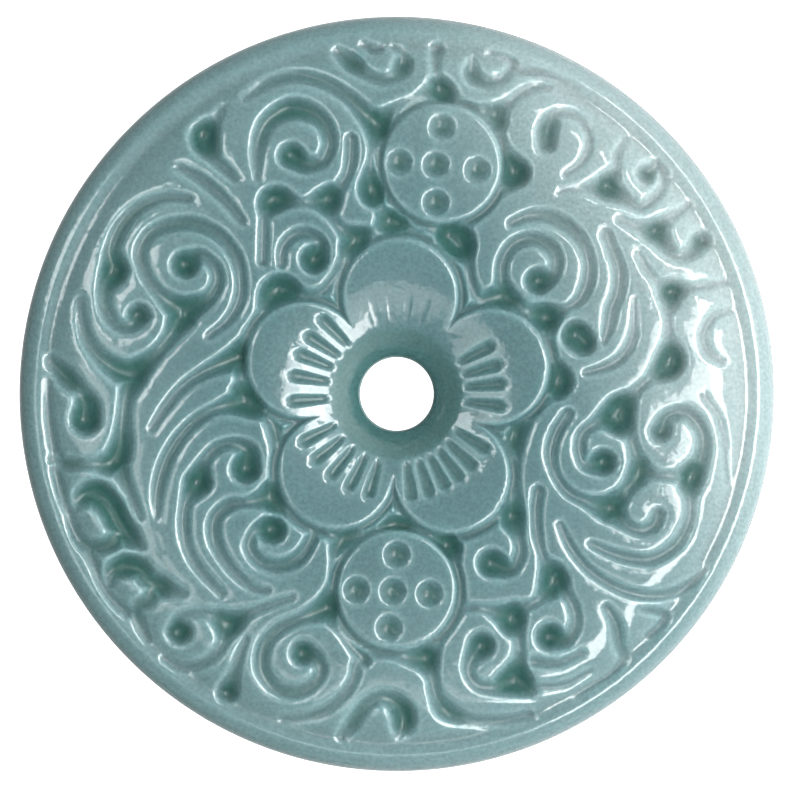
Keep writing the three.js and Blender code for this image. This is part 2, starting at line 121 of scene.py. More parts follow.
# The sunk ground between the vines, cut with small wheels and drills and left polished. Each channel is a
# smooth run of (x, y, half width at its mouth) in mm, read from the photograph: a wide place is a drilled
# pit, narrow stretches join the pits, and leaf, scroll and vine stand between.
GROUND_DEEP = 0.85
GROUND_POWER = 1.5
GROUND_DEEPEST = 1.5
PIT_FROM = 0.6
PIT_TO = 1.0
PIT_WIDER = 0.14
ALL_WIDER = 0.09
SOFT_LIP = 0.35
CUT_REACH = 1.2
CUT_STEP = 0.12
CHANNELS = [
    # round the flower
    [(-12.4, 2.9, 1.05), (-11.7, 4.6, 0.5), (-10.7, 6.3, 0.5), (-9.3, 8.2, 1.2), (-7.3, 7.8, 0.55),
     (-5.8, 8, 0.55), (-4.8, 9.3, 0.5), (-4.1, 10.7, 0.55), (-3.2, 12.1, 1), (-1.7, 12.8, 0.5),
     (-0.4, 13.5, 1), (1.5, 13, 0.45), (3.2, 12.8, 0.7), (4.6, 12.2, 1.4), (5.5, 10.4, 0.6),
     (5.9, 8.7, 0.5), (6.6, 7.5, 0.6), (8.4, 7.6, 0.95), (10.1, 6.7, 0.6), (11.8, 6, 1.15)],
    [(-12.4, 2.9, 1.05), (-12.2, 1.2, 0.6), (-11.9, -0.5, 1.15), (-10.3, -1.7, 0.6), (-9.5, -3, 0.7),
     (-9.5, -5, 0.45), (-9.6, -6.8, 0.55), (-9.9, -8.2, 1), (-8.6, -9.4, 0.55), (-7.3, -10.3, 0.5),
     (-6.5, -10.8, 0.6), (-5.5, -11, 0.5), (-4.2, -11.6, 0.85)],
    [(9.1, -9.6, 1), (9.45, -7.5, 0.4), (9.45, -5.5, 0.4), (9.3, -3.3, 0.9), (10.6, -1.8, 0.45),
     (12, -0.3, 0.5), (12.8, 0.9, 1.1), (12.3, 2.8, 0.5), (12.1, 4.5, 0.5), (11.8, 6, 1.15)],
    # round the two coins
    [(9.3, 17.5, 1.25), (8.1, 15.7, 0.35), (6.8, 14.2, 0.3), (5.5, 13.1, 0.4), (4.6, 12.2, 1.4)],
    [(3.5, 24, 1), (1.6, 23.4, 0.4), (0, 22.6, 0.5), (-1.5, 21.2, 1.05)],
    [(-5.4, -16.9, 1.05), (-4.7, -18.4, 0.4), (-3.6, -19.8, 0.45), (-2.6, -20.9, 0.7)],
    [(4, -12, 1.1), (4.7, -13.6, 0.4), (4.9, -15.5, 0.35), (5.1, -16.7, 0.45), (4.3, -18.3, 0.4),
     (3.2, -19.9, 0.45), (2.3, -20.8, 1)],
    [(5.2, -16.9, 0.4), (7, -17, 0.4), (9.1, -17.7, 1.1)],
    [(4, -12, 1.1), (2.2, -11, 0.5), (0, -10.4, 0.95), (-2, -10.9, 0.5), (-4.2, -11.6, 0.85),
     (-4.9, -13.3, 0.4), (-5.1, -15, 0.45), (-5.4, -16.9, 1.05)],
    # top and upper left: the great scroll, its arch and the scroll below it
    [(-4.6, 26.9, 0.5), (-3.6, 26.2, 0.8), (-2.6, 25.4, 0.6), (-1.4, 24.9, 0.55), (-0.2, 25.1, 0.6),
     (0.5, 26, 0.8), (0.4, 26.9, 0.45), (-0.2, 27.4, 0.3)],
    [(-2.6, 27.6, 0.3), (-1.8, 27.2, 0.45), (-1.2, 27.3, 0.3)],
    [(-11, 17, 0.25), (-10.95, 19.5, 0.6), (-10.2, 21.4, 0.75), (-8.3, 22.5, 0.9), (-6.2, 21.8, 0.75),
     (-5.3, 20, 0.65), (-5.9, 18.4, 0.65), (-7.2, 18.1, 0.75), (-8.3, 18.8, 1)],
    [(-11.9, 23.4, 0.35), (-10.2, 24.6, 0.55), (-8, 25.1, 0.65), (-5.8, 24.6, 0.65),
     (-3.8, 23.4, 0.65), (-2.4, 22, 0.8), (-1.5, 21.2, 1.05), (-1.7, 19.6, 0.55), (-1.95, 18.3, 0.45),
     (-2, 17, 0.8), (-1.9, 16, 1.05), (-1.3, 14.8, 0.6), (-0.5, 13.7, 1)],
    [(-3.6, 20.1, 0.5), (-3.6, 18.8, 0.55), (-3.9, 17.3, 0.5), (-4.6, 16.2, 0.6), (-5.4, 15.3, 1),
     (-5.1, 14.1, 0.5), (-4.4, 13.1, 0.5), (-3.2, 12.2, 1)],
    [(-5.5, 15.3, 1), (-7.5, 15.1, 0.4), (-9.7, 15.3, 1.05), (-10.4, 14, 0.5), (-10.5, 12.2, 0.45),
     (-10.55, 10.5, 0.45)],
    [(-9.1, 10.2, 0.35), (-9, 11.4, 0.45), (-8.2, 12.4, 0.55), (-7.1, 12.6, 0.6), (-6.1, 11.9, 0.65),
     (-6.5, 10.6, 1.05)],
    [(-13.8, 22.6, 0.35), (-14.4, 21.5, 0.6), (-15.2, 20.3, 1.15), (-14.4, 18.6, 0.6),
     (-13.5, 17.7, 0.5), (-12.8, 17, 0.35)],
    [(-17.2, 17.9, 0.35), (-15.6, 17, 0.52), (-13.8, 15.5, 0.5), (-12.3, 13.7, 0.38)],
    # left: the paired scrolls and the long vine along the rim
    [(-16.9, 6.5, 1.1), (-18.6, 7.8, 0.6), (-19.7, 9.2, 0.5), (-20.3, 11, 0.55), (-19.6, 12.5, 0.6),
     (-18, 13.3, 0.65), (-16, 13.4, 0.65), (-14.2, 12.6, 0.6), (-12.8, 11, 0.55), (-12.3, 9, 0.5),
     (-12.5, 7.2, 0.5), (-13.4, 5.7, 0.45), (-14.8, 4.6, 0.35)],
    [(-16.7, 10.2, 1.05), (-15.5, 10.9, 0.6), (-14.4, 10, 0.55), (-14.2, 8.8, 0.6), (-15, 7.5, 0.7),
     (-16.8, 6.5, 1.1)],
    [(-22.4, 9.6, 1.1), (-23.1, 8, 0.7), (-22.9, 6.5, 0.6), (-22, 5.4, 0.6), (-20.9, 5.5, 0.7),
     (-20.4, 6.2, 0.9)],
    [(-22.3, 9.8, 1.1), (-22.5, 11.3, 0.75), (-21.7, 13.3, 0.7), (-20.2, 14.8, 0.6),
     (-18.3, 15.5, 0.5), (-16.5, 15.4, 0.4)],
    [(-25, 7.3, 0.4), (-24.9, 5.8, 0.5), (-24.4, 4.2, 0.6), (-23.4, 2.9, 0.7), (-22, 1.9, 0.9),
     (-20.8, 1.5, 1.1)],
    [(-20.8, 1.6, 1.1), (-19.2, 3, 0.7), (-17.9, 4.5, 0.7), (-16.9, 6.2, 1.1)],
    [(-24.6, -2, 1.2), (-24.5, -1, 1), (-25, 0.2, 0.75), (-26.2, 1.4, 0.85), (-27.2, 2.6, 0.6)],
    [(-27.5, 1, 0.3), (-27.5, -1, 0.4), (-27.3, -3, 0.45), (-26.9, -4.6, 0.5), (-26.2, -5.5, 0.6)],
    [(-20.8, 1.4, 1), (-21.4, -0.6, 0.65), (-21.6, -2.5, 0.7), (-21.8, -4.2, 0.9), (-22.4, -5.4, 1),
     (-24.3, -5.55, 0.5), (-26.2, -5.5, 0.7), (-27.2, -5.2, 0.4)],
    [(-19.3, -2.7, 0.35), (-18.2, -1, 0.45), (-16.8, 0.6, 0.5), (-15.3, 1.6, 0.6), (-13.6, 2.4, 0.8),
     (-12.4, 2.9, 1.05)],
    [(-18.9, -9.6, 0.3), (-18.9, -8, 0.5), (-18.4, -5.8, 0.6), (-17.3, -3.7, 0.6), (-15.8, -2.1, 0.55),
     (-14, -1.1, 0.6), (-11.9, -0.6, 1.15)],
    # lower left: three hooks at the rim and two scrolls with long leaves
    [(-25.3, -9.1, 0.35), (-24.8, -8.2, 0.85), (-23.8, -7.9, 1.1), (-22.7, -8.9, 1.1),
     (-22, -10.2, 1.05), (-21.2, -11.3, 0.9), (-20.2, -12.1, 0.4)],
    [(-21.8, -11, 0.9), (-22.6, -11.8, 0.8), (-23.7, -12.1, 0.75), (-24.9, -11.7, 0.65),
     (-25.6, -10.6, 0.5), (-25.9, -9.4, 0.4), (-26.6, -7.6, 0.5), (-26.9, -6, 0.5)],
    [(-22, -5.6, 0.8), (-21.4, -7.2, 0.6), (-20.8, -8.6, 0.5), (-20.2, -9.8, 0.3)],
    [(-22.7, -15, 0.45), (-22.4, -14.1, 0.8), (-21.4, -13.6, 1), (-20.3, -13.9, 0.9),
     (-19.6, -14.7, 0.85), (-18.7, -15.2, 0.9), (-17.9, -15.5, 0.7), (-16.8, -15.8, 0.35)],
    [(-19.2, -15.4, 0.8), (-19.7, -16.3, 0.7), (-20.6, -17, 0.65), (-20.2, -18.3, 0.5),
     (-19.7, -19.4, 0.35)],
    [(-24.3, -12.2, 0.65), (-23.9, -13.4, 0.45), (-23.4, -14.9, 0.4), (-22.5, -16.3, 0.45),
     (-21.2, -17.2, 0.6)],
    [(-17.2, -18.8, 1), (-17.2, -17.9, 0.6), (-16, -17.4, 0.45), (-14.7, -17.5, 0.55),
     (-13.5, -18.2, 0.95), (-13.7, -19.5, 0.6), (-14.4, -20.6, 0.5), (-15.6, -21.4, 0.5),
     (-17, -21.6, 0.45), (-18.3, -21, 0.4)],
    [(-11.9, -5.9, 1.1), (-11.8, -4.6, 0.8), (-12.9, -4, 0.6), (-14.2, -4.3, 0.55), (-15.2, -5.4, 0.6),
     (-15.7, -7, 1.05)],
    [(-15.7, -7, 1.05), (-16.6, -8.6, 0.55), (-16.8, -10.4, 0.5), (-16.5, -12.2, 0.45),
     (-15.6, -13.8, 0.45), (-13.8, -15.8, 0.35)],
    [(-9.9, -8.2, 1), (-11.8, -8.6, 0.5), (-13.2, -8.8, 0.6), (-14.3, -9.8, 0.6), (-14.4, -11.3, 0.6),
     (-13.7, -12.9, 0.5), (-12.6, -14.3, 0.45), (-11.2, -15.4, 0.35), (-10.2, -15.6, 0.3)],
    [(-9.9, -10.7, 1.1), (-11, -10.8, 0.6), (-11.6, -12, 0.55), (-10.8, -13.2, 0.6),
     (-9.3, -13.6, 0.65), (-7.8, -13, 0.65), (-6.9, -11.8, 0.6), (-6.5, -10.8, 0.6)],
    [(-13.2, -18.2, 1), (-11.6, -17.3, 0.5), (-9.8, -16.6, 0.35), (-8.2, -16.1, 0.25)],
    # bottom: the scroll, the bud under the coin and the stems between
    [(-11.9, -19.4, 0.3), (-12.4, -20.6, 0.4), (-12.8, -22, 0.55), (-13.3, -23.5, 0.9)],
    [(-5.4, -16.9, 1.05), (-7.4, -17.7, 0.6), (-9.3, -18.6, 0.6), (-10.5, -20, 0.65),
     (-10.6, -21.8, 0.65), (-9.6, -23.2, 0.65), (-8, -23.6, 0.65), (-6.6, -22.9, 0.6),
     (-6, -21.8, 0.6), (-6.5, -20.9, 0.7), (-7.4, -20.5, 0.95)],
    [(2.3, -20.9, 1), (-0.5, -20.7, 0.35), (-2.2, -20.6, 0.5), (-3.1, -21.3, 0.5), (-3.4, -22.5, 0.45),
     (-4.3, -23.9, 0.5), (-5.9, -25.1, 0.55), (-7.5, -25.6, 0.45), (-9, -25.7, 0.35)],
    [(-4.3, -27, 0.5), (-3.6, -26.2, 0.7), (-3, -25.3, 0.7), (-2.2, -24.4, 0.65), (-1.1, -24, 0.65),
     (-0.1, -24.4, 0.8), (0.5, -25.3, 0.95), (0.55, -26.1, 0.9), (0.2, -26.8, 0.5)],
    [(2.3, -20.9, 1), (2.8, -22.3, 0.6), (3.1, -23.8, 0.6), (3.9, -25, 0.8), (5.6, -25.7, 0.6),
     (8, -25.8, 0.5), (10.5, -25.4, 0.4)],
    [(6.7, -19.9, 1), (6, -20.9, 0.7), (5.7, -22, 0.5), (6.4, -23, 0.5), (7.8, -23.2, 0.7),
     (9.4, -22.7, 1.2), (10.5, -23.4, 0.7)],
    # lower right: scrolls, the crescent leaves and the grooves by the rim
    [(7.5, -13.4, 1.05), (8.9, -13.8, 0.7), (9.7, -12.8, 0.55), (9.6, -11.3, 0.55), (9.1, -9.7, 1)],
    [(11.2, -7.7, 0.5), (11, -9.2, 0.5), (11.1, -11, 0.45), (11.6, -13, 0.4), (12.4, -14.7, 1.1),
     (11.2, -16.3, 0.5), (9.9, -17, 0.6), (9.1, -17.7, 1.1), (9.6, -19.2, 0.55), (9.7, -20.8, 0.6),
     (9.4, -22.5, 1.2)],
    [(12.1, -19.2, 1.05), (13.3, -19.4, 0.7), (14.1, -18.3, 0.55), (14, -16.9, 0.5),
     (13.3, -15.7, 0.6), (12.5, -14.8, 1.1)],
    [(10.9, -21.2, 0.5), (12.7, -21.3, 0.4), (14.6, -20.5, 0.3)],
    [(11.2, -23.2, 0.4), (13.3, -23, 0.35), (15.3, -21.9, 0.25)],
    [(16.6, -16.9, 0.35), (17.3, -18.2, 0.55), (17.6, -19.8, 0.55), (17.9, -20.8, 0.4),
     (17.2, -22, 0.3), (15.8, -22.9, 0.25), (14.2, -23.9, 0.2)],
    [(19.4, -17.1, 0.25), (20.5, -17.2, 0.4), (21.2, -17.6, 0.4), (20.7, -18.5, 0.4),
     (19.9, -19.1, 0.3)],
    [(13.5, -1.6, 0.5), (12.6, -3.1, 0.55), (12.2, -4.7, 0.5), (12.5, -6.2, 0.4), (13.5, -7.7, 0.45),
     (15, -8.5, 0.55), (16.9, -9.1, 1.05)],
    [(17.4, -1.7, 1.3), (15.8, -2.3, 0.6), (14.7, -3.2, 0.5), (14.5, -4.5, 0.5), (15, -5.6, 0.55),
     (16.3, -5.4, 1)],
    [(20, 1.2, 0.5), (18.8, 0.1, 0.55), (17.5, -1.7, 1.3), (18.4, -3.2, 0.6), (18.9, -4.8, 0.6),
     (19.2, -6.1, 0.9), (18.1, -7.7, 0.7), (16.9, -9, 1.05)],
    [(19.2, -6.1, 0.9), (20.5, -6.4, 0.5), (22.2, -6.5, 0.6), (23.3, -6.4, 1)],
    [(20.9, -3, 0.85), (21.4, -1.9, 0.7), (22.7, -1.5, 0.65), (23.8, -2.4, 0.65), (24.3, -4, 0.7),
     (23.9, -5.5, 0.8), (23.3, -6.6, 1.05), (23.2, -8.2, 0.6), (23.2, -9.5, 0.5), (22.6, -11.2, 0.6),
     (21.5, -12.4, 0.6), (20, -13.1, 0.55), (18, -12.9, 0.5), (16.3, -12.3, 0.4), (15.4, -11.9, 0.3)],
    [(16.9, -9, 1.05), (18, -10.2, 0.6), (19.3, -10.8, 0.55), (20.3, -10.4, 0.65), (20.7, -9.5, 0.55)],
    [(12.95, -10.4, 0.3), (13.7, -12, 0.4), (15, -13.7, 0.4), (16.8, -15, 0.4), (18.8, -15.8, 0.45),
     (21, -15.9, 0.5), (23, -15.2, 0.45), (24.6, -14, 0.35)],
    [(24.3, -0.2, 0.25), (25.4, -1.7, 0.3), (25.95, -3.8, 0.3), (26.1, -5.5, 0.3), (26.15, -7, 0.2)],
    # right and upper right: three hooks at the rim and two scrolls with long leaves
    [(26.3, 6.6, 0.25), (25.2, 6.2, 0.4), (24.5, 5.3, 0.45), (24.3, 4.3, 0.45), (24.7, 3.3, 0.45),
     (25.7, 2.7, 0.3)],
    [(21.7, 8, 1), (23.2, 8.4, 0.5), (24.8, 8.6, 0.38), (26, 8.8, 0.25)],
    [(20.5, 12.8, 0.95), (21.4, 11.6, 0.7), (22.3, 10.9, 0.6), (23.3, 11.2, 0.7), (24, 12, 0.85)],
    [(20.5, 12.9, 0.95), (21.5, 13.9, 0.5), (22.4, 14.4, 0.4), (23.2, 15, 0.25)],
    [(19.8, 17.4, 0.85), (20.6, 17.9, 0.6), (21.1, 17.1, 0.5), (21, 16.2, 0.5), (20.3, 15.4, 0.5),
     (19.3, 14.8, 0.5), (18.2, 15.3, 0.6), (16.7, 16.3, 1)],
    [(16.6, 16.4, 1), (17.3, 17.8, 0.5), (17.5, 19, 0.42), (18.1, 20.1, 0.3)],
    [(11.9, 19.8, 0.8), (12, 21, 0.85), (12.5, 22, 0.6), (13.4, 22.2, 0.45), (14.4, 21.8, 0.4),
     (15.1, 20.9, 0.38), (15.25, 19.9, 0.38), (15, 18.9, 0.38), (14.3, 18, 0.3), (13.4, 17.4, 0.25)],
    [(9.3, 17.5, 1.25), (8.4, 19.2, 0.7), (8, 20.6, 0.6), (7.9, 21.8, 0.85), (6.2, 22.6, 0.4),
     (4.9, 23, 0.45), (3.5, 24, 1), (3.2, 25.2, 0.45), (3.1, 26.2, 0.45), (3.2, 27.2, 0.6)],
    [(7.9, 22.1, 0.85), (8.9, 23, 0.5), (9.9, 23.8, 0.5), (11, 24.25, 0.5), (12, 24.2, 0.3)],
    [(12.9, 16, 0.2), (14.5, 16.2, 0.3), (16.6, 16.3, 1)],
    [(6, 26.2, 0.45), (6, 25.3, 0.75), (6.9, 24.7, 0.65), (8, 24.8, 0.55), (8.9, 25.4, 0.5),
     (9.2, 26.2, 0.45), (8.4, 26.9, 0.35), (7.4, 27.1, 0.25)],
    [(9.6, 25.5, 0.4), (11, 25.5, 0.35), (12.6, 25.2, 0.3), (14.3, 24.5, 0.25)],
    [(9.1, 13.5, 0.4), (10.5, 14, 0.55), (12.2, 13.9, 0.65), (13.8, 13, 0.65), (14.9, 11.5, 0.55),
     (15.2, 10, 0.55), (15, 8.5, 0.6), (14.3, 7.3, 0.5), (13.3, 6.7, 0.4), (11.8, 6, 1.15)],
    [(8.5, 7.7, 0.95), (8.3, 9, 0.6), (8.4, 10.5, 0.55), (9.3, 11.8, 0.6), (10.8, 12.2, 0.65),
     (12.1, 11.6, 0.65), (12.6, 10.4, 0.6), (12.2, 9.3, 0.7), (11.2, 8.9, 1)],
    [(16.6, 12.6, 0.5), (17.1, 11.3, 0.55), (17.6, 9.7, 0.6), (17.5, 8, 0.6), (17, 6.7, 0.6),
     (16.8, 5.5, 0.55), (16.4, 4.2, 0.4)],
    [(14.2, 4.6, 1.15), (14.7, 4.1, 1.05)],
    [(18.8, 7.5, 0.2), (18.8, 5.8, 0.3), (18.6, 4.3, 0.45), (17.8, 2.9, 0.5), (16.5, 2.1, 0.45),
     (15, 1.7, 0.3)],
    [(19.1, 11.1, 0.25), (19.8, 9.9, 0.35), (20.6, 8.9, 0.4), (21.6, 7.9, 0.9), (21.5, 6.2, 0.4),
     (21.5, 4.5, 0.5), (21.6, 2.5, 1.2), (20, 1.2, 0.5)],
    [(17.6, 13.8, 0.3), (18.9, 13.3, 0.5), (20.4, 12.8, 0.95)],
]


def relief(runs, depth_of):
    """Depth and edge distance of many channels together at every point of the face.

    A channel is the union of round cuts along its run. At distance d from a cut of half width w, with
    u = (d/w)^2, its depth is depth_of(w) * (1 - u) * (1 - SOFT_LIP * u) and its edge distance is d - w,
    below zero inside. The deepest cut and the nearest edge are kept at each point, and edges further than
    CUT_REACH are not followed."""
    depth = np.zeros_like(fx)
    edge = np.full_like(fx, CUT_REACH)
    for run in runs:
        centre = spline(run, CUT_STEP)
        pad = centre[:, 2].max() + CUT_REACH
        low = centre[:, :2].min(axis=0) - pad
        high = centre[:, :2].max(axis=0) + pad
        near = np.nonzero((fx > low[0]) & (fx < high[0]) & (fy > low[1]) & (fy < high[1]))[0]
        away = np.hypot(fx[near, None] - centre[:, 0], fy[near, None] - centre[:, 1])
        half = centre[:, 2]
        u = np.minimum((away / half) ** 2, 1.0)
        deep = (depth_of(half) * (1.0 - u) * (1.0 - SOFT_LIP * u)).max(axis=1)
        depth[near] = np.maximum(depth[near], deep)
        edge[near] = np.minimum(edge[near], (away - half).min(axis=1))
    return depth, edge


def mouth(half):
    """Half width of a cut at its mouth: a little more than the line read, and more again at a drilled pit."""
    return half + ALL_WIDER + PIT_WIDER * smoothstep(PIT_FROM, PIT_TO, half)


def ground_depth(half):
    """Depth under a cut of half width `half`: a power of the half width, down to the deepest drilling."""
    return np.minimum(GROUND_DEEP * half ** GROUND_POWER, GROUND_DEEPEST)


opened = [[(a, b, mouth(half)) for a, b, half in run] for run in CHANNELS]
ground, ground_edge = relief(opened, ground_depth)

# The flower: five round petals about the cord hole, with a fan of rounded stamens scooped out of each by a
# small wheel. The fan at the top is worn faint.
PETALS = 5
PETAL_TURN = 16.0
PETAL_OUT = 7.75
PETAL_R = 4.5
CLEFT_FROM = 6.6
STAMEN_TURNS = [-6.7, 5.6, 16.0, 27.0, 135.0, 147.0, 158.0, 170.0, 184.0, 207.0, 219.0, 231.0, 243.0, 254.5,
                278.0, 288.0, 297.5, 306.5, 316.0, 328.0]
STAMEN_INNER = (5.8, 0.42)
STAMEN_OUTER = (8.1, 0.62)
STAMEN_DEEP = 0.30
FAINT_TURNS = [72.0, 83.0, 94.0, 105.0]
FAINT_INNER = (6.0, 0.30)
FAINT_OUTER = (7.6, 0.40)
FAINT_DEEP = 0.03
OUTLINE_HALF = 0.45
OUTLINE_DEEP = 0.50


def radial(degrees, inner, outer):
    """A straight run along a radius of the flower between two (radius, half width) ends."""
    a = np.radians(degrees)
    return [(r * np.cos(a), r * np.sin(a), half) for r, half in (inner, outer)]


def from_circles(centres, radius):
    """Distance outside the union of equal circles at every point of the face, below zero inside them."""
    return np.min([np.hypot(fx - a, fy - b) for a, b in centres], axis=0) - radius


def outline(outside):
    """Depth of the narrow round-bottomed cut that runs along the outside of an edge."""
    across = (outside - OUTLINE_HALF) / OUTLINE_HALF
    return OUTLINE_DEEP * np.clip(1.0 - across ** 2, 0.0, None)


petal_turns = np.radians(PETAL_TURN + 360.0 / PETALS * np.arange(PETALS))
petal_centres = PETAL_OUT * np.stack([np.cos(petal_turns), np.sin(petal_turns)], axis=-1)
outside_flower = np.minimum(from_circles(petal_centres, PETAL_R), fr - CLEFT_FROM)
stamen, stamen_edge = relief([radial(a, STAMEN_INNER, STAMEN_OUTER) for a in STAMEN_TURNS],
                             lambda half: STAMEN_DEEP * half / half.max())
faint, _ = relief([radial(a, FAINT_INNER, FAINT_OUTER) for a in FAINT_TURNS],
                  lambda half: FAINT_DEEP * half / half.max())

# The two coins: plain round tablets of the same stone above and below the flower, left standing when the
# ground was cut away. Each has five shallow drilled dimples, and a dimple is a cut with almost no length.
COINS = [(3.6, 18.2), (0.0, -15.5)]
COIN_R = 4.6
COIN_DIMPLES = [
    (3.6, 21.1), (0.2, 18.3), (3.1, 18.1), (6.4, 17.7), (3.1, 15.1),
    (0.0, -12.7), (-3.2, -15.5), (-0.3, -15.6), (2.6, -15.8), (-0.6, -18.5),
]
DIMPLE_R = 1.15
DIMPLE_DEEP = 0.5
DIMPLE_RUN = 0.01
outside_coins = from_circles(COINS, COIN_R)
dimples = [[(a, b, DIMPLE_R), (a + DIMPLE_RUN, b, DIMPLE_R)] for a, b in COIN_DIMPLES]
dimple, dimple_edge = relief(dimples, lambda half: np.full_like(half, DIMPLE_DEEP))

# The finished carving: the cuts are taken off the blank, and the lips of the vines are rounded by the polish.
# The petals and coins stop the ground, and the turned rim outside the vines is kept whole.
GROUND_STOP = (-0.05, 0.30)
RIM_KEEP = (27.9, 28.5)
LIP_ROUND = 0.05
LIP_REACH = 0.30


def on_face(values):
    """Values at the points of the face, set into a grid of the whole skin that is zero elsewhere."""
    grid = np.zeros_like(z)
    grid[face] = values.reshape(face_shape)
    return grid


outside = np.minimum(outside_flower, outside_coins)
ground *= smoothstep(*GROUND_STOP, outside)
cut_deep = np.maximum(ground, outline(outside))
ring_edge = np.abs(outside - OUTLINE_HALF) - OUTLINE_HALF
cut_edge = np.maximum(np.minimum(ground_edge, ring_edge), -outside)
any_edge = np.minimum(np.minimum(cut_edge, stamen_edge), dimple_edge)
rounding = LIP_ROUND * np.exp(-np.clip(cut_edge, 0.0, None) / LIP_REACH)
inside_rim = 1.0 - smoothstep(*RIM_KEEP, fr)
z -= on_face((cut_deep + rounding + stamen + faint + dimple) * inside_rim)

# Masks from 0 to 1 at each point: painted shade by how far down a hollow is, where the wheel's polish is
# lost, a painted highlight along the lips, a painted glow paler towards the thinner rim, and painted light
# paler towards the right.
# Painted shade in the ground, the funnel, the dimples and the stamens: the deeper, the darker.
GROUND_WALL = (0.0, 0.30)
GROUND_SHADE_RANGE = (0.30, 0.90)
FUNNEL_WALL = (4.9, 5.4)
FUNNEL_SHADE = 0.5
DIMPLE_WALL = (0.2, 0.9)
DIMPLE_SHADE = 0.8
STAMEN_WALL = (0.05, 0.40)
STAMEN_SHADE = 0.4
SUNK_WALL = (-0.04, 0.28)
# Painted highlight along the lips of the cuts.
LIP_HIGHLIGHT_BAND = 0.30
LIP_HIGHLIGHT_INNER = 0.16
# Painted glow: paler from this radius out to the rim.
RIM_GLOW_FROM = 11.0
# Painted light: paler towards the right, where the lamps fall, less so in the hollows and at the outer edge.
LIT_RIGHT_TURN = 28.0
LIT_RIGHT_FROM = 9.0
LIT_RIGHT_TO = 29.0
LIT_RIGHT_LOST = 0.75
EDGE_BAND = (28.2, 29.8)
EDGE_LOST = 0.4
# Painted shade: the hollows are painted darker and greener, the deeper cuts more.
ground_shade = np.clip((cut_deep - GROUND_SHADE_RANGE[0]) / (GROUND_SHADE_RANGE[1] - GROUND_SHADE_RANGE[0]), 0.0, 1.0)
hollow_shade = on_face(np.max([
    ground_shade * smoothstep(*GROUND_WALL, -cut_edge) * inside_rim,
    FUNNEL_SHADE * (1.0 - smoothstep(*FUNNEL_WALL, fr)),
    DIMPLE_SHADE * smoothstep(*DIMPLE_WALL, -dimple_edge),
    STAMEN_SHADE * smoothstep(*STAMEN_WALL, -stamen_edge)], axis=0))
sunk = on_face(smoothstep(*SUNK_WALL, -any_edge) * inside_rim)
# Painted highlight: a paler band painted along every cut's lip.
lip_highlight = on_face(np.exp(-((any_edge / np.where(any_edge > 0.0, LIP_HIGHLIGHT_BAND, LIP_HIGHLIGHT_INNER)) ** 2)) * inside_rim)
out_r = np.hypot(x, y)
# Painted glow: the colour turns paler towards the thinner rim, standing in for light through the stone.
rim_glow = smoothstep(RIM_GLOW_FROM, DISC_R, out_r)
# Painted light: the colour is painted paler towards the right, less in the hollows and at the outer edge.
lit_right_axis = np.radians(LIT_RIGHT_TURN)
along = x * np.cos(lit_right_axis) + y * np.sin(lit_right_axis)
lit_right = smoothstep(LIT_RIGHT_FROM, LIT_RIGHT_TO, along) * (1.0 - LIT_RIGHT_LOST * hollow_shade)
lit_right *= 1.0 - EDGE_LOST * smoothstep(*EDGE_BAND, out_r)

# The skin of the disc: one closed mesh of quads, from the bore out over the carved face, round the edge,
# across the plain back with its one turned ring, and up the bore again.
at = np.arange(x.size).reshape(x.shape)
outward = np.roll(at, -1, axis=0)
quads = np.stack([at, outward, np.roll(outward, -1, axis=1), np.roll(at, -1, axis=1)], axis=-1).reshape(-1, 4)
disc_mesh = bpy.data.meshes.new("jade_disc_carved")
disc_mesh.vertices.add(x.size)
disc_mesh.vertices.foreach_set("co", (np.stack([x, y, z], axis=-1) * MM).ravel())
disc_mesh.loops.add(quads.size)
disc_mesh.loops.foreach_set("vertex_index", quads.ravel())
disc_mesh.polygons.add(len(quads))
disc_mesh.polygons.foreach_set("loop_start", np.arange(0, quads.size, 4))
disc_mesh.polygons.foreach_set("use_smooth", np.ones(len(quads), bool))
for name, values in (("hollow_shade", hollow_shade), ("sunk", sunk), ("lip_highlight", lip_highlight), ("rim_glow", rim_glow), ("lit_right", lit_right)):
    disc_mesh.attributes.new(name, "FLOAT", "POINT").data.foreach_set("value", values.ravel())
disc_mesh.update(calc_edges=True)
disc = bpy.data.objects.new("jade_disc_carved", disc_mesh)
bpy.context.collection.objects.link(disc)

# Polished jade: a fine-grained stone that lets light in a little way. Its colour also carries painted light:
# painted shade in the hollows, a painted highlight on the lips, a painted glow towards the rim and painted
# light towards the right.
# Faint clouds run through it. The flats have a glassy polish that wavers slightly, and the hollows, where the
# wheel hardly reaches, are duller.
JADE_FLAT = "#547478"
# Painted glow colour towards the rim.
JADE_RIM_GLOW = "#6d878a"
# Painted shade colour for the hollows.
JADE_HOLLOW_SHADE = "#3d6863"
# Painted highlight colour for the lips.
JADE_LIP_HIGHLIGHT = "#8fa9ab"
LIP_HIGHLIGHT_SHARE = 0.25
# Painted light colour for the right side.
JADE_LIT_RIGHT = "#bdc4c4"
LIT_RIGHT_SHARE = 0.60
CLOUD_DARK = "#e6ecea"
CLOUD_MM = 9.0
GRAIN_DARK = "#bcc6c6"
GRAIN_MM = 0.28
WHITE = "#ffffff"
WAVER_MM = 1.2
WAVER_DEEP = 0.04
JADE_IOR = 1.62
BODY_SHINE = 0.18
POLISH = 0.19
DULLER = 0.10
GLAZE = 0.98
GLAZE_LOST = 0.90
GLAZE_POLISH = 0.07
GLAZE_IOR = 1.5
BLEED_MM = 2.5
BLEED_RGB = (0.7, 1.0, 0.95)


def linear(hex_colour):
    """An sRGB hex colour as linear red, green, blue and an alpha of one."""
    srgb = np.array([int(hex_colour[i:i + 2], 16) for i in (1, 3, 5)]) / 255.0
    return (*np.where(srgb <= 0.04045, srgb / 12.92, ((srgb + 0.055) / 1.055) ** 2.4), 1.0)


